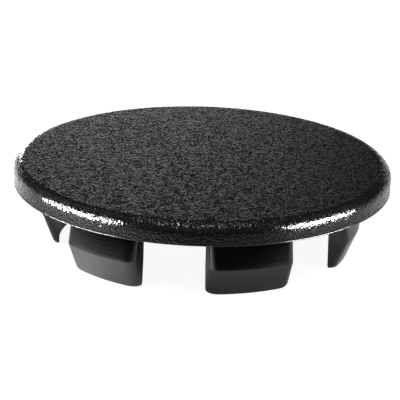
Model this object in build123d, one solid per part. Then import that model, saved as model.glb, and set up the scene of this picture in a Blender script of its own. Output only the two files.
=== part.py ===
from build123d import *
import os
from math import radians, sqrt, tan

# A snap-in hole plug, moulded in one piece: a round, flat head that covers the hole, and a
# ring of stiff fingers below it that spring through the hole and catch behind the panel.
# Millimetres, +Z up.  The origin is on the plug's axis, in the plane of the ring on the
# head's underside that seats on the panel.

# The panel that the plug is made for
hole_diameter = 31.75
thickest_panel = 3.2

# Head
head_diameter = 38.1
head_height = 2.3
top_edge_radius = 1.05
bottom_edge_break = 0.15        # small bevel round the underside
rim_draft = 3.0                 # degrees; the rim is narrower towards its underside

# Underside of the head
pocket_depth = 0.65             # from the seating ring's plane up to the pocket's ceiling
pocket_corner_break = 0.35
seat_clearance = 0.45           # in plan, from the fingers' ridge out to the seating ring
seat_relief = 0.2               # how far the face inside the seating ring is set back
gate_diameter = 1.8             # low stub where the mould was filled
gate_height = 0.25

# Fingers
finger_count = 6
finger_width = 8.72
finger_side_taper = 0.06        # how far each side closes in between ridge and tip
finger_length = 6.5             # from the seating ring's plane down to the tips
neck_clearance = 0.3            # between neck and hole, all round
neck_wall = 1.2                 # a finger's thickness at the neck
snap_overlap = 0.22             # how far the ridge reaches past the hole's edge
ridge_drop = 0.4                # from the back of the thickest panel down to the ridge
tip_wall = 0.5
upright_corner_radius = 1.1     # a finger's two outer corners, seen from below
tip_corner_radius = 0.45        # its two lower corners, seen from the front
tip_edge_bevel = 0.16           # along the outside of the tip
root_bevel = 0.25               # where a finger meets the head
root_depth = 0.6                # how far a finger's stock runs up inside the head

# Worked out from the sizes above
head_radius = head_diameter / 2
neck_radius = hole_diameter / 2 - neck_clearance
ridge_radius = hole_diameter / 2 + snap_overlap
core_radius = neck_radius - neck_wall
tip_radius = core_radius + tip_wall
seat_inner_radius = ridge_radius + seat_clearance
ridge_z = -(thickest_panel + ridge_drop)
tip_z = -finger_length


def break_corner(section, point, length):
    """Bevel the corner of a flat section that lies nearest to a point."""
    return chamfer(section.vertices().sort_by_distance(point)[0], length)


def head():
    """The head before it is cored: flat crown, drafted rim, seating ring and relief, turned."""
    lean = tan(radians(rim_draft))
    top_corner_radius = head_radius + top_edge_radius * lean
    bottom_corner_radius = top_corner_radius - head_height * lean
    outline = Polyline(
        (0, head_height),
        (top_corner_radius, head_height),
        (bottom_corner_radius, 0),
        (seat_inner_radius, 0),
        (seat_inner_radius, seat_relief),
        (0, seat_relief),
        close=True,
    )
    section = break_corner(make_face(outline), (bottom_corner_radius, 0), bottom_edge_break)
    top_corner = section.vertices().sort_by_distance((top_corner_radius, head_height))[0]
    return revolve(Plane.XZ * fillet(top_corner, top_edge_radius), Axis.Z)


def core():
    """The mould's core: it leaves the pocket and the fingers' upright inner faces."""
    outline = Polyline(
        (0, pocket_depth),
        (core_radius, pocket_depth),
        (core_radius, tip_z),
        (0, tip_z),
        close=True,
    )
    section = break_corner(make_face(outline), (core_radius, pocket_depth), pocket_corner_break)
    return revolve(Plane.XZ * section, Axis.Z)


def gate_stub():
    """The low stub left where the mould was filled, in the middle of the pocket."""
    depth_in_wall = (head_height - pocket_depth) / 2
    foot = Pos(0, 0, pocket_depth - gate_height)
    align_foot = (Align.CENTER, Align.CENTER, Align.MIN)
    return foot * Cylinder(gate_diameter / 2, gate_height + depth_in_wall, align=align_foot)


def finger_plan(outer_radius, half_width, z):
    """Plan of a finger that points along +X, with the stock that the core will cut away."""
    stock_x = core_radius - finger_width / 2
    side_x = sqrt(outer_radius**2 - half_width**2)
    sides = Polyline(
        (side_x, half_width),
        (stock_x, half_width),
        (stock_x, -half_width),
        (side_x, -half_width),
    )
    back = ThreePointArc((side_x, -half_width), (outer_radius, 0), (side_x, half_width))
    plan = make_face(sides + back)
    outer_corners = plan.vertices().sort_by(Axis.X)[-2:]
    return Pos(0, 0, z) * fillet(outer_corners, upright_corner_radius)


def finger_front():
    """A finger's outline seen from outside, as a prism: straight sides, round lower corners."""
    half_width = finger_width / 2
    tip_half_width = half_width - finger_side_taper
    outline = Polyline(
        (-half_width, head_height),
        (-half_width, ridge_z),
        (-tip_half_width, tip_z),
        (tip_half_width, tip_z),
        (half_width, ridge_z),
        (half_width, head_height),
        close=True,
    )
    front = make_face(outline)
    lower_corners = front.vertices().sort_by(Axis.Y)[:2]
    return extrude(Plane.YZ * fillet(lower_corners, tip_corner_radius), head_radius)


def finger():
    """A finger's stock along +X: neck, catching ridge, then a lead-in down to a thin tip."""
    half_width = finger_width / 2
    plans = [
        finger_plan(neck_radius, half_width, seat_relief + root_depth),
        finger_plan(neck_radius, half_width, 0),
        finger_plan(ridge_radius, half_width, ridge_z),
        finger_plan(tip_radius, half_width - finger_side_taper, tip_z),
    ]
    stock = loft(plans, ruled=True)
    side_reach = sqrt(core_radius**2 - half_width**2)
    tip_edges = stock.edges().filter_by_position(Axis.Z, tip_z - 0.001, tip_z + 0.001)
    outer_tip_edges = tip_edges.filter_by(lambda edge: edge.center().X > side_reach)
    return chamfer(outer_tip_edges, tip_edge_bevel) & finger_front()


def finger_ring():
    """The stock of all the fingers, the first one pointing along -Y."""
    one = Rot(0, 0, -90) * finger()
    pitch = 360 / finger_count
    return [Rot(0, 0, pitch * place) * one for place in range(finger_count)]


def root_edges(blank):
    """The edges where the fingers meet the relieved underside of the head."""
    level = blank.edges().filter_by_position(Axis.Z, seat_relief - 0.001, seat_relief + 0.001)
    return level.filter_by(lambda edge: not edge.is_closed)


def hole_plug():
    """The whole plug as one solid."""
    blank = head() + finger_ring()
    blank = chamfer(root_edges(blank), root_bevel)
    return blank - core() + gate_stub()


os.makedirs("parts", exist_ok=True)
export_step(hole_plug(), "parts/hole_plug.step")
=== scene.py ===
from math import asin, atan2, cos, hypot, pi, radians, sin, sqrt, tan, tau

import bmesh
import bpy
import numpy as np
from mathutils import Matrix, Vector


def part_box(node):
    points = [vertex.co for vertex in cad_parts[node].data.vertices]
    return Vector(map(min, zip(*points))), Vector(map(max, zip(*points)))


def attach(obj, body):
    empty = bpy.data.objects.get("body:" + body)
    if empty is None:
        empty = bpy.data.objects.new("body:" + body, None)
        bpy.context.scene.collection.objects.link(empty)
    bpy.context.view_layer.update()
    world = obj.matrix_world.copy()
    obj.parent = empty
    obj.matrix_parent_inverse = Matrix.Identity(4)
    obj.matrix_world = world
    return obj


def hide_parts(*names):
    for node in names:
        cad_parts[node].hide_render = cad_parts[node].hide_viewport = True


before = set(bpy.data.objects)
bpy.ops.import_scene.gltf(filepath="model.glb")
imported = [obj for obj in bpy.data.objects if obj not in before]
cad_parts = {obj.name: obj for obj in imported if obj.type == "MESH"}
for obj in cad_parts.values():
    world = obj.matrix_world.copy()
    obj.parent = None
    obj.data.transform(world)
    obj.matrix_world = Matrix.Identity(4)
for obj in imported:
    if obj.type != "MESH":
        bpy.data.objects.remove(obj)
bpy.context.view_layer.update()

# %% [markdown]
# # A snap-in hole plug
#
# The object is one moulding in black nylon: a flat round head with a soft edge, and six
# springy fingers below it that click through a round hole in a panel.  The CAD solid gives
# its true size.  Here one finer mesh is built over that solid, ring by ring and finger by
# finger, so that every rounded edge catches the light as it does on the real plug.
#
# Lengths are written in millimetres, as a mould maker would, and turned into metres once,
# when the mesh is made.

MM = 0.001
plug_low, plug_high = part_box("hole_plug")
head_top = plug_high.z / MM
finger_tip = plug_low.z / MM
print(f"measured up from the panel: crown {head_top:.2f} mm, finger tips {finger_tip:.2f} mm")

# %% [markdown]
# ## Profiles with rounded corners
#
# Almost every form on the plug starts as a line with a few corners: the rim, the fingers'
# outer face, the pocket.  On the real part each corner has a small radius, because sharp
# steel corners wear out and sharp plastic ones crack.  A Bevel modifier could round the
# finished mesh, but it stumbles where roundings of different sizes meet.  So one helper
# walks along a line and replaces each corner by an arc of its own.

# %% A line whose corners are rounded
def rounded_path(corners, roundings):
    """Points along a line; each inner corner is an arc with its own radius and number of steps."""
    path = [np.array(corners[0], float)]
    for before, corner, after, (radius, arc_steps) in zip(corners, corners[1:], corners[2:], roundings):
        corner = np.array(corner, float)
        back = np.array(before) - corner
        onward = np.array(after) - corner
        back /= np.linalg.norm(back)
        onward /= np.linalg.norm(onward)
        half_angle = np.arccos(np.clip(back @ onward, -1, 1)) / 2
        centre = corner + (back + onward) / np.linalg.norm(back + onward) * radius / sin(half_angle)
        reach = radius / tan(half_angle)
        start, end = corner + back * reach - centre, corner + onward * reach - centre
        sweep = pi - 2 * half_angle
        for step in range(arc_steps + 1):
            share = step / arc_steps
            turned = (sin((1 - share) * sweep) * start + sin(share * sweep) * end) / sin(sweep)
            path.append(centre + turned)
    path.append(np.array(corners[-1], float))
    return np.array(path)


square_corner = rounded_path([(0, 0), (1, 0), (1, 1)], [(0.2, 4)])
print("a square corner in four steps:", square_corner[1:-1].round(3).tolist())

# %% The same line with closer points
def subdivided(path, longest):
    """The same line with extra points, so that no stretch is longer than the length given."""
    points = [path[0]]
    for a, b in zip(path, path[1:]):
        count = max(1, int(np.ceil(np.linalg.norm(b - a) / longest)))
        points += [a + (b - a) * k / count for k in range(1, count + 1)]
    return np.array(points)


print("a length of 1 in stretches of at most 0.3:", subdivided(np.array([[0, 0], [1, 0]]), 0.3)[:, 0])

# %% [markdown]
# ## A skin that is sewn together
#
# The real plug is one skin of plastic all round, without a seam.  Simple bodies could be
# joined with the Boolean modifier, but that leaves thin, crooked triangles where they meet,
# and on glossy black they show as flaws.  So the skin is sewn from loops of points: each
# loop is joined to the next, neighbours share their points, and the skin closes by itself.

# %% A mesh that is sewn together loop by loop
class Sewing:
    """Collects points and faces, so that loops of points can be joined into one skin."""

    def __init__(self):
        self.points = []
        self.faces = []
        self.finishes = []
        self.finish = 0

    def add(self, points):
        """Adds points and returns their places in the list."""
        first = len(self.points)
        self.points.extend(tuple(point) for point in points)
        return np.arange(first, len(self.points))

    def face(self, *corners):
        self.faces.append([int(corner) for corner in corners])
        self.finishes.append(self.finish)

    def strip(self, upper, lower, closed=True):
        """Quads between two loops with the same number of points."""
        count = len(upper) if closed else len(upper) - 1
        for k in range(count):
            n = (k + 1) % len(upper)
            self.face(upper[k], upper[n], lower[n], lower[k])

    def zip(self, outer, outer_angles, inner, inner_angles):
        """Triangles between two loops round the axis that have different numbers of points."""
        i = j = 0
        while i < len(outer) or j < len(inner):
            next_i, next_j = (i + 1) % len(outer), (j + 1) % len(inner)
            next_outer = outer_angles[next_i] + tau * ((i + 1) // len(outer))
            next_inner = inner_angles[next_j] + tau * ((j + 1) // len(inner))
            if j == len(inner) or (i < len(outer) and next_outer <= next_inner):
                self.face(outer[i % len(outer)], outer[next_i], inner[j % len(inner)])
                i += 1
            else:
                self.face(outer[i % len(outer)], inner[next_j], inner[j % len(inner)])
                j += 1


skin = Sewing()
GRAINED, PLAIN, TOOLED = 0, 1, 2
print("the skin's finishes: grained, plain and tooled, in that order")

# %% [markdown]
# ## The crown and the rim
#
# The crown is the flat face that stays in sight, and its edge is rounded, so that nothing
# catches on it.  The side below leans in a little towards its foot, where a fine bead runs
# round.  A disc made of rings has a knot of thin triangles in its middle, which spoils fine
# texture.  So the crown is a square grid that is pressed into a disc: each square ring of
# the grid becomes a round one, and all its cells keep about the same size.  The outermost
# ring then runs on over the edge, down the side and round the bead.

# %% The outline of the rim, from the crown's edge down to the bead
head_radius = 19.05
top_edge_radius = 1.05
rim_draft = radians(3)
bead_radius = 0.055
bead_stands_out = 0.02
EDGE_STEPS, BEAD_STEPS = 11, 8

wall_top = head_radius + top_edge_radius * tan(rim_draft)
wall_foot = wall_top - head_top * tan(rim_draft)
bead_centre = wall_foot + bead_stands_out - bead_radius
bead_start = np.arccos(1 - bead_stands_out / bead_radius)
bead_angles = np.linspace(bead_start, -pi / 2, BEAD_STEPS + 1)
bead_heights = bead_radius + bead_radius * np.sin(bead_angles)
bead_path = np.column_stack([bead_centre + bead_radius * np.cos(bead_angles), bead_heights])
rim_path = rounded_path(
    [(0, head_top), (wall_top, head_top), (wall_foot, bead_heights[0])],
    [(top_edge_radius, EDGE_STEPS)],
)[1:]
crown_radius = rim_path[0][0]
print(f"head {2 * rim_path[:, 0].max():.2f} mm across, flat crown {2 * crown_radius:.2f} mm across")

# %% A square grid that is pressed into a disc
GRID_COUNT = 216


def pressed_into_disc(a, b):
    """Concentric map of a square from -1 to 1 onto the unit disc."""
    wide = np.abs(a) > np.abs(b)
    safe_a = np.where(a == 0, 1, a)
    safe_b = np.where(b == 0, 1, b)
    radius = np.where(wide, a, b)
    angle = np.where(wide, pi / 4 * b / safe_a, pi / 2 - pi / 4 * a / safe_b)
    return radius * np.cos(angle), radius * np.sin(angle)


steps = np.linspace(-1, 1, GRID_COUNT + 1)
disc_x, disc_y = pressed_into_disc(*np.meshgrid(steps, steps, indexing="ij"))
crown_points = np.column_stack([disc_x.ravel(), disc_y.ravel(), np.zeros(disc_x.size)]) * crown_radius
crown_points[:, 2] = head_top
crown = skin.add(crown_points).reshape(GRID_COUNT + 1, GRID_COUNT + 1)
skin.finish = GRAINED
for i in range(GRID_COUNT):
    for j in range(GRID_COUNT):
        skin.face(crown[i, j], crown[i + 1, j], crown[i + 1, j + 1], crown[i, j + 1])
print(f"crown: {GRID_COUNT} by {GRID_COUNT} cells")

# %% Run the crown's last ring on, over the edge and down to the bead
LONGEST_STRETCH = 0.17


def ring(radius, height, angles):
    """Points round the axis, at one radius and height."""
    return np.column_stack([radius * np.cos(angles), radius * np.sin(angles), np.full(len(angles), height)])


edge = np.unique(np.concatenate([crown[0], crown[-1], crown[:, 0], crown[:, -1]]))
edge_angles = np.arctan2(crown_points[edge, 1], crown_points[edge, 0]) % tau
order = np.argsort(edge_angles)
rim_loop, rim_angles = edge[order], edge_angles[order]
for finish_number, path in ((GRAINED, subdivided(rim_path, LONGEST_STRETCH)), (PLAIN, bead_path)):
    skin.finish = finish_number
    for radius, height in path[1:]:
        next_loop = skin.add(ring(radius, height, rim_angles))
        skin.strip(rim_loop, next_loop)
        rim_loop = next_loop
grained_points = len(skin.points)
print(f"crown and rim: {grained_points} points, {len(rim_angles)} round the edge")

# %% [markdown]
# ## The fingers
#
# Each finger is a short curved leaf.  From its neck it leans out to a catching ridge, and
# from there it tapers in to a thin tip, so that it wedges its own way through the hole.
# It could be cut from a turned ring, but here it is built as a stack of outlines seen from
# below, because every rounded corner then has its own row of points.  Each outline has an
# outer chain, which runs up one side, round the two rounded corners and down the other
# side, and an inner chain along the round core that shaped the pocket.

# %% The outline of a finger, seen from below
core_radius = 14.375
upright_radius = 1.1
SIDE_STEPS, BACK_STEPS, INNER_STEPS = 14, 22, 22


def outer_chain(outer_radius, inner_radius, half, corner_radius):
    """Side, rounded corner, back, rounded corner and side of a finger that points along +X."""
    arm = outer_radius - corner_radius
    corner_y = half - corner_radius
    corner_x = sqrt(arm**2 - corner_y**2)
    lean = atan2(corner_y, corner_x)
    start_angle = pi / 2
    line = 0.0
    if hypot(corner_x, half) > inner_radius:
        line = corner_x - sqrt(inner_radius**2 - half**2)
    else:
        cosine = (inner_radius**2 - arm**2 - corner_radius**2) / (2 * arm * corner_radius)
        start_angle = lean + np.arccos(cosine)
    arc = (start_angle - lean) * corner_radius
    side = []
    for k in range(SIDE_STEPS + 1):
        along = (line + arc) * k / SIDE_STEPS
        if along < line:
            side.append((corner_x - line + along, half))
            continue
        angle = start_angle - (along - line) / corner_radius
        side.append((corner_x + corner_radius * cos(angle), corner_y + corner_radius * sin(angle)))
    back_angles = np.linspace(-lean, lean, BACK_STEPS + 1)[1:-1]
    back = [(outer_radius * cos(angle), outer_radius * sin(angle)) for angle in back_angles]
    return [(x, -y) for x, y in side] + back + side[::-1]


def inner_chain(radius, chain):
    """Points along the core between the two ends of an outer chain, last end first."""
    reach = asin(min(1, chain[-1][1] / radius))
    angles = np.linspace(reach, -reach, INNER_STEPS + 1)[1:-1]
    return [(radius * cos(angle), radius * sin(angle)) for angle in angles]


print(f"one outline: {2 * SIDE_STEPS + BACK_STEPS + INNER_STEPS} points")

# %% The heights at which a finger gets an outline
neck_radius = 15.575
ridge_radius = 16.095
tip_radius = 14.875
ridge_height = -3.6
relief_height = 0.2
neck_bend_radius = 1.0
ridge_edge_radius = 0.2
tip_edge_radius = 0.2
tip_corner_radius = 0.45
root_radius = 0.25
BEND_STEPS, ROOT_STEPS, NECK_STEPS, LEAD_STEPS, CORNER_STEPS = 5, 5, 8, 5, 8
CLOSEST_LEVELS = 0.006
HAIR = 1e-6


def outer_face():
    """The finger's outer side as a line of radii and heights, from the root to the tip."""
    path = rounded_path(
        [(neck_radius, relief_height), (neck_radius, 0), (ridge_radius, ridge_height),
         (tip_radius, finger_tip), (core_radius, finger_tip)],
        [(neck_bend_radius, BEND_STEPS), (ridge_edge_radius, BEND_STEPS), (tip_edge_radius, BEND_STEPS)],
    )
    return path[np.argsort(-path[:, 1], kind="stable")]


def level_heights(face):
    """Close together at the root, the ridge and the tip's corners, and wider apart between."""
    root_foot = relief_height - root_radius
    corner_top = finger_tip + tip_corner_radius
    quarter = pi / 2
    heights = [relief_height - root_radius * (1 - cos(a)) for a in np.linspace(0, quarter, ROOT_STEPS + 1)]
    heights += [z for _, z in face if finger_tip < z < root_foot]
    heights += list(np.linspace(root_foot, ridge_height, NECK_STEPS + 1)[1:-1])
    heights += list(np.linspace(ridge_height, corner_top, LEAD_STEPS + 1)[1:-1])
    corner_turns = np.linspace(0, quarter, CORNER_STEPS + 1)
    heights += [finger_tip + tip_corner_radius * (1 - sin(a)) for a in corner_turns]
    heights = sorted(set(round(z, 4) for z in heights), reverse=True)
    kept = [heights[0]]
    for z in heights[1:]:
        if kept[-1] - z > CLOSEST_LEVELS or z <= finger_tip:
            kept.append(z)
    return kept


finger_face = outer_face()
finger_heights = level_heights(finger_face)
print(f"{len(finger_heights)} outlines from {finger_heights[0]:.2f} down to {finger_heights[-1]:.2f} mm")

# %% The size of the outline at each height
half_width = 4.36
tip_half_width = 4.30
inner_edge_radius = 0.1


def rounding(radius, distance):
    """How far a quarter-round edge stands back, at a distance from where it ends."""
    return radius - sqrt(radius**2 - (radius - distance)**2)


def level(z):
    """Height, outer radius, inner radius, half width and flare of the outline."""
    outer_radius = np.interp(-z, -finger_face[:, 1], finger_face[:, 0])
    if z <= finger_tip + HAIR:
        outer_radius = min(r for r, h in finger_face if h <= finger_tip + HAIR and r > core_radius + HAIR)
    half = np.interp(-z, [-ridge_height, -finger_tip], [half_width, tip_half_width])
    above_tip = z - finger_tip
    if above_tip < tip_corner_radius:
        half -= rounding(tip_corner_radius, above_tip)
    inner_radius = core_radius
    if above_tip < inner_edge_radius:
        inner_radius += rounding(inner_edge_radius, above_tip)
    depth = relief_height - z
    flare = rounding(root_radius, depth) if depth < root_radius else 0.0
    return z, outer_radius, inner_radius, half, flare


levels = [level(z) for z in finger_heights]
for name, (z, outer, inner, half, _) in (("root", levels[0]), ("tip", levels[-1])):
    print(f"{name}: {z:.2f} mm high, {outer - inner:.2f} thick, {2 * half:.2f} wide")

# %% Sew the six fingers and keep their root loops
FINGER_COUNT = 6


def turned(points, angle, height):
    """Points of a plan turned about the axis and lifted to a height."""
    x, y = np.array(points).T
    return np.column_stack(
        [x * cos(angle) - y * sin(angle), x * sin(angle) + y * cos(angle), np.full(len(x), height)]
    )


finger_angles = sorted(radians(-90 + 360 / FINGER_COUNT * k) % tau for k in range(FINGER_COUNT))
roots = []
for angle in finger_angles:
    above = None
    for height, outer_radius, inner_radius, half, flare in levels:
        chain = outer_chain(outer_radius + flare, inner_radius, half + flare, upright_radius + flare)
        inside = inner_chain(inner_radius, chain)
        outer_loop = skin.add(turned(chain, angle, height))
        inner_loop = skin.add(turned(inside, angle, height))
        loop = np.concatenate([outer_loop, inner_loop])
        if above is None:
            roots.append((outer_loop, inner_loop, chain))
        else:
            skin.finish = TOOLED
            skin.strip(above[: len(outer_loop)], outer_loop, closed=False)
            skin.finish = PLAIN
            inner_above = np.concatenate([above[len(outer_loop) - 1:], above[:1]])
            inner_below = np.concatenate([loop[len(outer_loop) - 1:], loop[:1]])
            skin.strip(inner_above, inner_below, closed=False)
        above = loop
    skin.finish = TOOLED
    skin.face(*outer_loop, *inner_loop)
print(f"fingers: {FINGER_COUNT} of {len(levels)} outlines each, {len(skin.points)} points so far")

# %% [markdown]
# ## The underside
#
# Between the fingers the underside is set back a little, so that only a clean outer ring
# rests on the panel.  Inside the ring of fingers lies a shallow pocket, which keeps the
# wall even and saves plastic, with the low stub of the filling point in its middle.  Both
# could be sunk with Booleans; sewn on, they share the points of the fingers' roots.

# %% Join the fingers' roots into one loop outside and one inside
GAP_STEPS = 14

outside_loop, outside_angles, pocket_loop, pocket_angles = [], [], [], []
for (outer_loop, inner_loop, chain), angle in zip(roots, finger_angles):
    outside_loop += list(outer_loop)
    outside_angles += [angle + atan2(y, x) for x, y in chain]
    half_root = atan2(chain[-1][1], chain[-1][0])
    across = np.linspace(-half_root, half_root, INNER_STEPS + 1)
    pocket_loop += [outer_loop[0], *inner_loop[::-1], outer_loop[-1]]
    pocket_angles += list(angle + across)
    gap = np.linspace(half_root, tau / FINGER_COUNT - half_root, GAP_STEPS + 1)[1:-1]
    gap_loop = skin.add(ring(core_radius, relief_height, angle + gap))
    outside_loop += list(gap_loop)
    outside_angles += list(angle + gap)
    pocket_loop += list(gap_loop)
    pocket_angles += list(angle + gap)
outside_angles = np.array(outside_angles)
print(f"roots: {len(outside_loop)} points outside, {len(pocket_loop)} inside")

# %% Sew the relief, the step down to the seat, and the seat out to the rim
relief_radius = 16.545

skin.finish = PLAIN
relief_loop = skin.add(ring(relief_radius, relief_height, outside_angles))
skin.strip(np.array(outside_loop), relief_loop)
step_loop = skin.add(ring(relief_radius, 0, outside_angles))
skin.strip(relief_loop, step_loop)
wrapped = outside_angles % tau
order = np.argsort(wrapped)
skin.zip(rim_loop, rim_angles, step_loop[order], wrapped[order])
print(f"seat: a ring {bead_centre - relief_radius:.2f} mm wide, relief {relief_height} mm deep")

# %% Sew the pocket and the stub of the filling point
pocket_height = 0.65
pocket_corner_radius = 0.35
gate_radius = 0.9
gate_height = 0.25
gate_edge_radius = 0.08
gate_bottom = pocket_height - gate_height
POCKET_STEPS, GATE_STEPS = 6, 3
POCKET_STRETCH = 1.2

pocket_path = subdivided(rounded_path(
    [(core_radius, relief_height), (core_radius, pocket_height), (gate_radius, pocket_height),
     (gate_radius, gate_bottom), (0, gate_bottom)],
    [(pocket_corner_radius, POCKET_STEPS), (gate_edge_radius, GATE_STEPS), (gate_edge_radius, GATE_STEPS)],
), POCKET_STRETCH)[1:-1]
loop, angles = np.array(pocket_loop), np.array(pocket_angles)
for radius, height in pocket_path:
    next_loop = skin.add(ring(radius, height, angles))
    skin.strip(loop, next_loop)
    loop = next_loop
middle = skin.add([(0, 0, gate_bottom)])[0]
for k in range(len(loop)):
    skin.face(loop[k], loop[(k + 1) % len(loop)], middle)
print(f"whole skin: {len(skin.points)} points, {len(skin.faces)} faces")

# %% [markdown]
# ## A surface that isn't quite even
#
# The steel of the mould was eroded to a leathery grain.  Most of the grain is finer than a
# mesh can carry and comes later, from the material.  The broadest part of it is real here.
# A Displace modifier with a clouds texture would do, but its texture is hard to steer and
# pushes points both ways.  So a few dozen waves in random directions are added up, and they
# only lower the crown and the rim, by up to a hundredth of a millimetre.

# %% Lower the grained points a little, unevenly
WAVE_COUNT = 70
SHORTEST_WAVE, LONGEST_WAVE = 0.7, 1.6
DEEPEST = 0.010
NORMAL_MIDDLE, NORMAL_SPREAD = 0.5, 0.25
CALM_FOOT, CALM_FADE = 0.1, 0.3

rng = np.random.default_rng(7)
points = np.array(skin.points, float)
grained = points[:grained_points]
directions = rng.normal(size=(WAVE_COUNT, 3))
directions /= np.linalg.norm(directions, axis=1)[:, None]
lengths = rng.uniform(SHORTEST_WAVE, LONGEST_WAVE, WAVE_COUNT)
phases = rng.uniform(0, tau, WAVE_COUNT)
wave = np.zeros(len(grained))
for direction, length, phase in zip(directions, lengths, phases):
    wave += np.sin(grained @ direction * tau / length + phase)
wave /= sqrt(WAVE_COUNT / 2)
depth = DEEPEST * np.clip(NORMAL_MIDDLE + NORMAL_SPREAD * wave, 0, 1)

radial = np.hypot(grained[:, 0], grained[:, 1])
overhang = np.clip(radial - crown_radius, 0, None) / top_edge_radius
rise = np.clip((grained[:, 2] - head_top + top_edge_radius) / top_edge_radius, 0, 1)
normal = np.column_stack([grained[:, 0] / np.maximum(radial, HAIR) * overhang,
                          grained[:, 1] / np.maximum(radial, HAIR) * overhang, rise])
normal /= np.maximum(np.linalg.norm(normal, axis=1), HAIR)[:, None]
fade = np.clip((grained[:, 2] - CALM_FOOT) / CALM_FADE, 0, 1)
points[:grained_points] = grained - normal * (depth * fade)[:, None]
print(f"grain lowered by up to {depth.max() * 1000:.0f} thousandths of a millimetre")

# %% [markdown]
# ## One closed body
#
# Plastic has an inside and an outside, and so should its mesh: a hole in the skin, or a
# face that looks inwards, shows as a dark or broken place under glossy light.  So the
# normals are made to agree, the open edges are counted, and the volume is measured, which
# should come close to that of the CAD solid.  Smooth shading then hides the faces, except
# where two of them meet at a real crease.

# %% Make the mesh and check that its skin is closed
CREASE = radians(34)

mesh = bpy.data.meshes.new("plug_moulding")
mesh.from_pydata([tuple(p) for p in points * MM], [], skin.faces)
mesh.update()
mesh.polygons.foreach_set("material_index", skin.finishes)
work = bmesh.new()
work.from_mesh(mesh)
bmesh.ops.recalc_face_normals(work, faces=work.faces[:])
open_edges = sum(not e.is_manifold for e in work.edges)
volume = work.calc_volume() / MM**3
triangles = sum(len(f.verts) - 2 for f in work.faces)
print(f"{open_edges} open edges, volume {volume:.0f} cubic mm, {triangles} triangles")
work.to_mesh(mesh)
work.free()
mesh.shade_smooth()
mesh.set_sharp_from_angle(angle=CREASE)
plug = bpy.data.objects.new("plug_moulding", mesh)
bpy.context.scene.collection.objects.link(plug)

# %% [markdown]
# ## Writing a material as sums
#
# A shader is a graph of nodes, but most of it is plain arithmetic, which is hard to read as
# boxes and wires.  The first small class below wraps a socket, so that ordinary Python
# operators add the Math nodes, and one method of the last makes every other kind of node.

# %% A number that varies over a surface
class Amount:
    """A number or a colour that varies over a surface.  Ordinary operators work on it."""

    def __init__(self, finish, socket):
        self.finish = finish
        self.socket = socket

    def combined(self, operation, *values):
        sockets = dict(enumerate(values))
        return self.finish.node("ShaderNodeMath", {"operation": operation}, sockets).out("Value")

    def __add__(self, other):
        return self.combined("ADD", self, other)

    def __radd__(self, other):
        return self.combined("ADD", other, self)

    def __sub__(self, other):
        return self.combined("SUBTRACT", self, other)

    def __rsub__(self, other):
        return self.combined("SUBTRACT", other, self)

    def __mul__(self, other):
        return self.combined("MULTIPLY", self, other)

    def __rmul__(self, other):
        return self.combined("MULTIPLY", other, self)

    def __pow__(self, other):
        return self.combined("POWER", self, other)

    def at_least(self, other):
        return self.combined("MAXIMUM", self, other)

    def ramp(self, low, high):
        """0 below the lower limit, 1 above the higher one, and smooth between them."""
        settings = {"interpolation_type": "SMOOTHSTEP"}
        sockets = {"Value": self, "From Min": low, "From Max": high}
        return self.finish.node("ShaderNodeMapRange", settings, sockets).out("Result")


print("an Amount can:", ", ".join(name.strip("_") for name in vars(Amount) if callable(vars(Amount)[name])))

# %% A finish, and the nodes that it is made of
class Made:
    """A node that has been made; out() gives one of its results, by name or by place."""

    def __init__(self, finish, node):
        self.finish = finish
        self.node = node

    def out(self, name):
        return Amount(self.finish, self.node.outputs[name])


class Finish:
    """A material, or the world, with an empty graph to fill."""

    def __init__(self, holder):
        holder.use_nodes = True
        self.holder = holder
        self.tree = holder.node_tree
        self.tree.nodes.clear()

    def node(self, kind, settings=None, sockets=None):
        """Makes a node: its settings come first, then the values or links of its sockets."""
        node = self.tree.nodes.new(kind)
        for name, value in (settings or {}).items():
            setattr(node, name, value)
        for name, value in (sockets or {}).items():
            if isinstance(value, Amount):
                self.tree.links.new(value.socket, node.inputs[name])
            else:
                node.inputs[name].default_value = value
        return Made(self, node)

    def vector_sum(self, operation, result, *values):
        """Arithmetic on places and directions; the result is called Vector or Value."""
        sockets = dict(enumerate(values))
        return self.node("ShaderNodeVectorMath", {"operation": operation}, sockets).out(result)

    def place(self, stretch=(1, 1, 1)):
        """Position on the object in millimetres, stretched along each axis."""
        position = self.node("ShaderNodeTexCoord").out("Object")
        return self.vector_sum("MULTIPLY", "Vector", position, tuple(1000 * factor for factor in stretch))

    def height(self, where):
        return self.node("ShaderNodeSeparateXYZ", {}, {"Vector": where}).out("Z")

    def noise(self, where, scale, detail=2.0, roughness=0.5):
        sockets = {"Vector": where, "Scale": scale, "Detail": detail, "Roughness": roughness}
        return self.node("ShaderNodeTexNoise", {}, sockets).out("Fac")

    def cells(self, where, scale):
        sockets = {"Vector": where, "Scale": scale, "Randomness": 1.0}
        return self.node("ShaderNodeTexVoronoi", {"feature": "F1"}, sockets).out("Distance")

    def blend(self, amount, first, second):
        """A colour between two colours."""
        return self.node("ShaderNodeMix", {"data_type": "RGBA"}, {0: amount, 6: first, 7: second}).out(2)


print("a Finish can:", ", ".join(name.strip("_") for name in vars(Finish) if callable(vars(Finish)[name])))

# %% [markdown]
# ## Black nylon, three ways
#
# The whole plug is one black nylon, but the mould left it with three surfaces.  The crown
# and the rim are spark eroded: fine leathery cells with pits between them, darkened by
# painted shade.  The fingers' outer faces keep faint level lines from the cutter.  The rest
# is simply smooth.  A picture of such plastic could be wrapped round the mesh, but noise that
# is worked out at each place is sharp at any distance and has no seams.  So one recipe is
# shared, and each surface gives it its own relief, gloss and tone; on the grain that tone
# is painted shade, darker in the pits.

# %% The recipe for black nylon
BLACK = (0.0022, 0.0022, 0.0023, 1)
SOFT_BLACK = (0.005, 0.005, 0.0052, 1)
NYLON_IOR = 1.53
# The gloss of the copy of the nylon that paints shade into the pits
SHADED_COPY_GLOSS = 0.03


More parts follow.
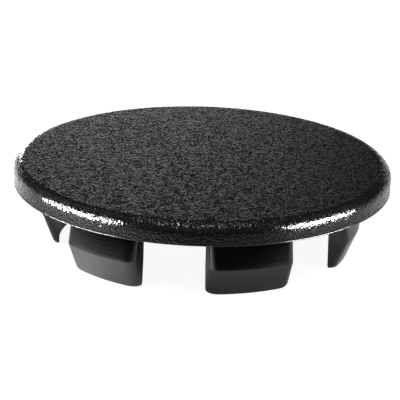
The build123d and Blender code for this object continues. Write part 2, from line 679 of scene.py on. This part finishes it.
def nylon(finish, height, depth, roughness, shade, pits=None):
    """Black nylon; in the pits, where little light reaches, painted shade mixes in a copy with almost no
    gloss.
    """
    bump = finish.node("ShaderNodeBump", {}, {"Height": height, "Distance": depth * MM, "Strength": 1.0})
    # The tone runs from BLACK to SOFT_BLACK; on the grain it is painted shade, darker in the pits.
    surface = {"Base Color": finish.blend(shade, BLACK, SOFT_BLACK), "Roughness": roughness,
               "Normal": bump.out("Normal"), "IOR": NYLON_IOR}
    skin_shader = finish.node("ShaderNodeBsdfPrincipled", {}, surface).out("BSDF")
    # Painted shade: in the pits, a copy with almost no gloss is mixed in.
    if pits is not None:
        shaded_copy = finish.node("ShaderNodeBsdfPrincipled", {}, {**surface, "Specular IOR Level": SHADED_COPY_GLOSS})
        sockets = {0: pits, 1: skin_shader, 2: shaded_copy.out("BSDF")}
        skin_shader = finish.node("ShaderNodeMixShader", {}, sockets).out("Shader")
    finish.node("ShaderNodeOutputMaterial", {}, {"Surface": skin_shader})
    mesh.materials.append(finish.holder)
    print(f"{finish.holder.name}: {len(finish.tree.nodes)} nodes, relief {depth} mm")


# %% [markdown]
# ### The grain
#
# Spark erosion leaves craters that overlap, which look like leather from a step away.
# Voronoi cells give the craters, and a softer noise makes some deeper than others.  The
# floor of a crater is rougher than the land between the craters, which shines.  Little
# light reaches a crater floor, so painted shade darkens it there: a darker black, and a copy
# of the nylon with almost no gloss mixed in.  Round the edge the mould slides off along the
# surface, so the grain there is shallower.

# %% Grained nylon for the crown and the rim
CRATERS_PER_MM, LUMPS_PER_MM, LUMP_SHARE = 4.8, 3.8, 0.7
EDGE_BEGINS, EDGE_REACHED = 18.3, 18.7
EDGE_LOSS, TOP_LOSS, TOP_BEGINS, TOP_REACHED = 0.52, 0.10, 0.8, 1.3
GRAIN_DEPTH = 0.095
DULL, POLISH = 0.34, 0.27
GLOSS_BAND, PIT_SHADE_BAND, SHADED_COPY_BAND = (0.42, 0.75), (0.3, 0.8), (0.44, 0.72)


def leather_height(finish):
    where = finish.place()
    return finish.cells(where, CRATERS_PER_MM) ** 2 + finish.noise(where, LUMPS_PER_MM) * LUMP_SHARE


def grain_share(finish):
    """The grain is full on the crown and shallower round the edge."""
    radius = finish.vector_sum("LENGTH", "Value", finish.place((1, 1, 0)))
    height = finish.height(finish.place())
    lost = EDGE_LOSS + TOP_LOSS * height.ramp(TOP_BEGINS, TOP_REACHED)
    return 1 - radius.ramp(EDGE_BEGINS, EDGE_REACHED) * lost


grained_nylon = Finish(bpy.data.materials.new("grained_nylon"))
leather, share = leather_height(grained_nylon), grain_share(grained_nylon)
# Painted shade in the pits: a darker black, and the copy with almost no gloss.
nylon(grained_nylon, height=leather * share, depth=GRAIN_DEPTH,
      roughness=DULL - POLISH * leather.ramp(*GLOSS_BAND),
      shade=leather.ramp(*PIT_SHADE_BAND),
      pits=(1 - leather.ramp(*SHADED_COPY_BAND)) * share)

# %% [markdown]
# ### The plain and the tooled faces
#
# The underside was left as the mill and the polishing stone made it: smooth, with a faint
# cloudiness.  On the fingers the cutter went round level by level, so the noise is drawn
# out sideways and pressed together upright, and it turns into fine level lines.

# %% Plain and tooled nylon
PLAIN_DEPTH, TOOLED_DEPTH = 0.004, 0.006
FINE_WAVES, BROAD_WAVES, SHADE_WAVES = 6.0, 1.2, 0.6
LEVEL_LINES, LEVEL_SHEEN = (0.25, 0.25, 4.0), (0.5, 0.5, 5.0)

plain_nylon = Finish(bpy.data.materials.new("plain_nylon"))
nylon(plain_nylon, height=plain_nylon.noise(plain_nylon.place(), FINE_WAVES), depth=PLAIN_DEPTH,
      roughness=0.30 + 0.10 * plain_nylon.noise(plain_nylon.place(), BROAD_WAVES),
      shade=plain_nylon.noise(plain_nylon.place(), SHADE_WAVES))

tooled_nylon = Finish(bpy.data.materials.new("tooled_nylon"))
nylon(tooled_nylon, height=tooled_nylon.noise(tooled_nylon.place(LEVEL_LINES), 1.0, detail=3.0),
      depth=TOOLED_DEPTH,
      roughness=0.12 + 0.08 * tooled_nylon.noise(tooled_nylon.place(LEVEL_SHEEN), 1.0),
      shade=tooled_nylon.noise(tooled_nylon.place(), SHADE_WAVES))

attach(plug, "root")
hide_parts("hole_plug")

# %% [markdown]
# ## The floor and the world
#
# The plug stands on its finger tips on a pale floor that runs out into a white background.
# A floor of plain white paint would do for most things, but glossy black mirrors all of it
# and looks grey.  So the floor answers each kind of ray: the eye sees it nearly white, with
# the plug's shadow on it, and mirrored rays see it mostly dim.  For them it carries painted
# light, brighter only where the plug's lower faces and the ends of the rim should catch some
# light, and painted shade, black beyond the front.  The ramps that say where are given in
# millimetres from the plug's axis.

# %% The floor
VIEW_AZIMUTH = radians(-19.86)
FLOOR_HALF = 3.0
toward_camera = (sin(VIEW_AZIMUTH), -cos(VIEW_AZIMUTH), 0)
toward_left = (-cos(VIEW_AZIMUTH), -sin(VIEW_AZIMUTH), 0)

floor_mesh = bpy.data.meshes.new("studio_floor")
corner_signs = ((-1, -1), (1, -1), (1, 1), (-1, 1))
floor_corners = [(x * FLOOR_HALF, y * FLOOR_HALF, plug_low.z) for x, y in corner_signs]
floor_mesh.from_pydata(floor_corners, [], [(0, 1, 2, 3)])
floor = bpy.data.objects.new("studio_floor", floor_mesh)
bpy.context.scene.collection.objects.link(floor)
print(f"floor: {2 * FLOOR_HALF:.0f} m square, level with the finger tips at {finger_tip:.2f} mm")

# %% What the floor shows to mirrored rays: painted light and painted shade
floor_paint = Finish(bpy.data.materials.new("studio_floor"))
here = floor_paint.place()
ahead = floor_paint.vector_sum("DOT_PRODUCT", "Value", here, toward_camera)
leftward = floor_paint.vector_sum("DOT_PRODUCT", "Value", here, toward_left)
away = floor_paint.vector_sum("LENGTH", "Value", here)

# Painted shade: mirrored rays see the floor black beyond the front and far off.
painted_dark_floor = ahead.ramp(18.0, 38.0).at_least(away.ramp(30.0, 55.0) * ahead.ramp(-10.0, 5.0))
# Painted light: mirrored rays see the floor glow near the plug, at its left front and behind it.
near_plug = 1 - away.ramp(19.0, 27.0)
left_front = leftward.ramp(0.0, 14.0) * (1 - away.ramp(24.0, 40.0)) * ahead.ramp(4.0, 12.0)
behind_plug = (1 - ahead.ramp(-16.0, -4.0)) * (0.2 + 0.8 * leftward.ramp(-10.0, 10.0))
painted_light_for_mirrors = 0.07 + 0.10 * near_plug + 1.35 * left_front + behind_plug
print(f"floor paint so far: {len(floor_paint.tree.nodes)} nodes")

# %% The floor's paint
CAMERA_GLOW = 0.93
# PALE and WHITE are the floor's paint; the last colour is painted shade for mirrored rays.
PALE, WHITE, PAINTED_DARK = (0.3, 0.3, 0.3, 1), (0.8, 0.8, 0.8, 1), (0.02, 0.02, 0.02, 1)

floor_rays = floor_paint.node("ShaderNodeLightPath")
mirrored = floor_rays.out("Is Glossy Ray")
# The eye sees an even glow; mirrored rays see the painted light.
seen = floor_rays.out("Is Camera Ray") * CAMERA_GLOW + mirrored * painted_light_for_mirrors
paint = floor_paint.node("ShaderNodeBsdfDiffuse", {}, {"Color": floor_paint.blend(mirrored, PALE, WHITE)})
glow = floor_paint.node("ShaderNodeEmission", {}, {"Color": seen, "Strength": 1.0})
lit = floor_paint.node("ShaderNodeAddShader", {}, {0: paint.out("BSDF"), 1: glow.out("Emission")})
# The painted black that mirrored rays see beyond the front, mixed in by its mask.
dark_paint = floor_paint.node("ShaderNodeBsdfDiffuse", {}, {"Color": PAINTED_DARK})
with_painted_dark = floor_paint.node("ShaderNodeMixShader", {},
                           {0: mirrored * painted_dark_floor, 1: lit.out("Shader"), 2: dark_paint.out("BSDF")})
from_below = floor_paint.node("ShaderNodeNewGeometry").out("Backfacing")
clear = floor_paint.node("ShaderNodeBsdfTransparent")
one_sided = floor_paint.node("ShaderNodeMixShader", {},
                             {0: from_below, 1: with_painted_dark.out("Shader"), 2: clear.out("BSDF")})
floor_paint.node("ShaderNodeOutputMaterial", {}, {"Surface": one_sided.out("Shader")})
floor_mesh.materials.append(floor_paint.holder)
print(f"floor paint: {len(floor_paint.tree.nodes)} nodes")

# %% The world: white to the eye, a dim room to everything else
ROOM_LEVEL, HORIZON_EXTRA = 0.006, 0.03

world = bpy.data.worlds.new("studio")
bpy.context.scene.world = world
room = Finish(world)
direction = room.node("ShaderNodeTexCoord").out("Generated")
low_band = 1 - room.height(direction).ramp(0.15, 0.85)
to_camera = room.node("ShaderNodeLightPath").out("Is Camera Ray")
strength = (ROOM_LEVEL + HORIZON_EXTRA * low_band) * (1 - to_camera) + to_camera
backdrop = room.node("ShaderNodeBackground", {}, {"Color": (1, 1, 1, 1), "Strength": strength})
room.node("ShaderNodeOutputWorld", {}, {"Surface": backdrop.out("Background")})
print(f"room: {ROOM_LEVEL} overhead, {ROOM_LEVEL + HORIZON_EXTRA} at the horizon, white to the eye")

# %% [markdown]
# ## The camera
#
# A small part is best seen through a long lens from some way off, because a wide lens close
# by would bend the round head out of shape.  The camera looks down a little from the front
# left and leans by a degree or two.  Its axes are worked out one by one instead of typing
# in angles, so that each step can be followed: back from the plug, right, and up.

# %% The camera
view_elevation = radians(18.91)
view_roll = radians(1.77)
camera_distance = 331.5 * MM
aim_right, aim_up = -0.217 * MM, -1.790 * MM

back = Vector((sin(VIEW_AZIMUTH) * cos(view_elevation), -cos(VIEW_AZIMUTH) * cos(view_elevation),
               sin(view_elevation)))
level_right = Vector((cos(VIEW_AZIMUTH), sin(VIEW_AZIMUTH), 0))
level_up = back.cross(level_right)
right = level_right * cos(view_roll) + level_up * sin(view_roll)
up = level_up * cos(view_roll) - level_right * sin(view_roll)
aim = right * aim_right + up * aim_up
camera_back = (back * camera_distance - aim).normalized()
camera_right = (right - camera_back * right.dot(camera_back)).normalized()
camera_up = camera_back.cross(camera_right)

camera_data = bpy.data.cameras.new("camera")
camera_data.sensor_width = 36
camera_data.lens = 295.1
camera_data.clip_start, camera_data.clip_end = 0.01, 20
camera = bpy.data.objects.new("camera", camera_data)
bpy.context.scene.collection.objects.link(camera)
camera.rotation_mode = "QUATERNION"
camera.rotation_quaternion = Matrix((camera_right, camera_up, camera_back)).transposed().to_quaternion()
camera.location = back * camera_distance
bpy.context.scene.camera = camera
print(f"camera: {camera_data.lens:.0f} mm lens, {camera_distance / MM:.0f} mm away")

# %% [markdown]
# ## The light
#
# Glossy black shows little of its own colour.  What the eye reads is what it mirrors, so
# its light is a matter of where bright things stand.  A big softbox would turn the whole
# crown grey.  Two white cards are bent round the front of the rim instead, lower than the
# crown: the soft edge mirrors them as two bright lines, and the crown can't see them.  A
# faint low card behind the head gives the crown its sheen, which fades towards the front.
# A high narrow strip draws the glint along the front edge, two small cards behind light the
# rim's far ends, and weak lamps all round keep the sides alive.  Last come two soft keys for
# the colour itself.

# %% Lamps: a flat panel, and a softbox aimed at the plug
def panel(name, centre, facing, width, height, watts):
    """A flat lamp that shines one way and isn't seen itself."""
    data = bpy.data.lights.new(name, "AREA")
    data.shape = "RECTANGLE"
    data.size, data.size_y = width, height
    data.energy = watts
    lamp = bpy.data.objects.new(name, data)
    lamp.location = centre
    lamp.rotation_mode = "QUATERNION"
    lamp.rotation_quaternion = facing.to_track_quat("-Z", "Y")
    lamp.visible_camera = False
    bpy.context.scene.collection.objects.link(lamp)
    return lamp


def softbox(name, azimuth, elevation, distance, width, height, watts):
    """A large lamp aimed at the plug; its azimuth is taken from the camera's side."""
    a, e = VIEW_AZIMUTH + radians(azimuth), radians(elevation)
    outward = Vector((sin(a) * cos(e), -cos(a) * cos(e), sin(e)))
    return panel(name, outward * distance, -outward, width, height, watts)


# %% Lamps: cards that stand close to the plug
CARD_TURN = 11


def standing_card(name, first, last, low, high, watts):
    """An upright white card between two ends, each given as mm to the right and mm behind."""
    behind = -Vector(toward_camera)
    ends = [(level_right * sideways + behind * back_by) * MM for sideways, back_by in (first, last)]
    along = ends[1] - ends[0]
    facing = along.cross(Vector((0, 0, 1)))
    centre = (ends[0] + ends[1]) / 2 + Vector((0, 0, (low + high) / 2 * MM))
    return panel(name, centre, facing, along.length, (high - low) * MM, watts)


def curved_card(name, radius, first, last, low, high, glow):
    """A card bent round the plug, clockwise from above; glow gives its watts per square mm."""
    cards = []
    turns = np.linspace(first, last, max(2, round(abs(last - first) / CARD_TURN)) + 1)
    for number, (start, end) in enumerate(zip(turns, turns[1:]), 1):
        ends = [(radius * sin(radians(turn)), -radius * cos(radians(turn))) for turn in (start, end)]
        area = 2 * radius * sin(radians(abs(end - start) / 2)) * (high - low)
        cards.append(standing_card(f"{name}_{number}", *ends, low, high, glow((start + end) / 2) * area))
    return cards


# %% Cards for the edge, the crown and the ends of the rim
GLEAM_RADIUS, GLEAM_LOW, GLEAM_HIGH, GLEAM_GLOW = 22, 1.42, 2.28, 6.5e-4
SHEEN_RADIUS, SHEEN_LOW, SHEEN_HIGH, SHEEN_GLOW = 25.5, 2.3, 3.2, 2.45e-6


def even_glow(turn):
    """The same all along the card."""
    return GLEAM_GLOW


def glow_from_left(turn):
    """Full straight behind (-180), a fifth more to its left, and fading out to its right."""
    return SHEEN_GLOW * min(max(1 + (turn + 180) / 50, 0.1), 1.2)


left_gleam = curved_card("left_gleam", GLEAM_RADIUS, -30, -61, GLEAM_LOW, GLEAM_HIGH, even_glow)
right_gleam = curved_card("right_gleam", GLEAM_RADIUS, 57, 31, GLEAM_LOW, GLEAM_HIGH, even_glow)
back_card = curved_card("back_card", SHEEN_RADIUS, -126, -234, SHEEN_LOW, SHEEN_HIGH, glow_from_left)
top_strip = softbox("top_strip", azimuth=0, elevation=66, distance=0.60, width=0.20, height=0.05, watts=1.0)
left_end_card = standing_card("left_end_card", (-26, 39), (-21.5, 41), low=-6, high=2.2, watts=0.0022)
right_end_card = standing_card("right_end_card", (22, 42), (28, 38), low=-6, high=2.2, watts=0.0001)
print(f"cards: {len(left_gleam)} + {len(right_gleam)} for the edge, {len(back_card)} behind")

# %% Weak lamps all round, and the two keys
HIGH, LOW = 50, 22

left_sheen = softbox("left_sheen", -140, HIGH, distance=0.50, width=0.34, height=0.30, watts=0.16)
right_sheen = softbox("right_sheen", 140, HIGH, distance=0.50, width=0.34, height=0.30, watts=0.10)
low_lamps = [softbox(f"ring_{number}", azimuth, LOW, distance=0.60, width=0.70, height=0.30, watts=0.16)
             for number, azimuth in enumerate((-100, -15, 70), 1)]
left_key = softbox("left_key", -60, HIGH, distance=0.60, width=0.40, height=0.40, watts=3.0)
right_key = softbox("right_key", 60, HIGH, distance=0.60, width=0.40, height=0.40, watts=2.2)
for lamp in (*left_gleam, *right_gleam, *back_card, top_strip, left_end_card, right_end_card,
             left_sheen, right_sheen, *low_lamps):
    lamp.visible_diffuse = False
for lamp in (left_key, right_key):
    lamp.visible_glossy = False

# %% Finish with a plain view transform
bpy.context.scene.view_settings.view_transform = "Standard"
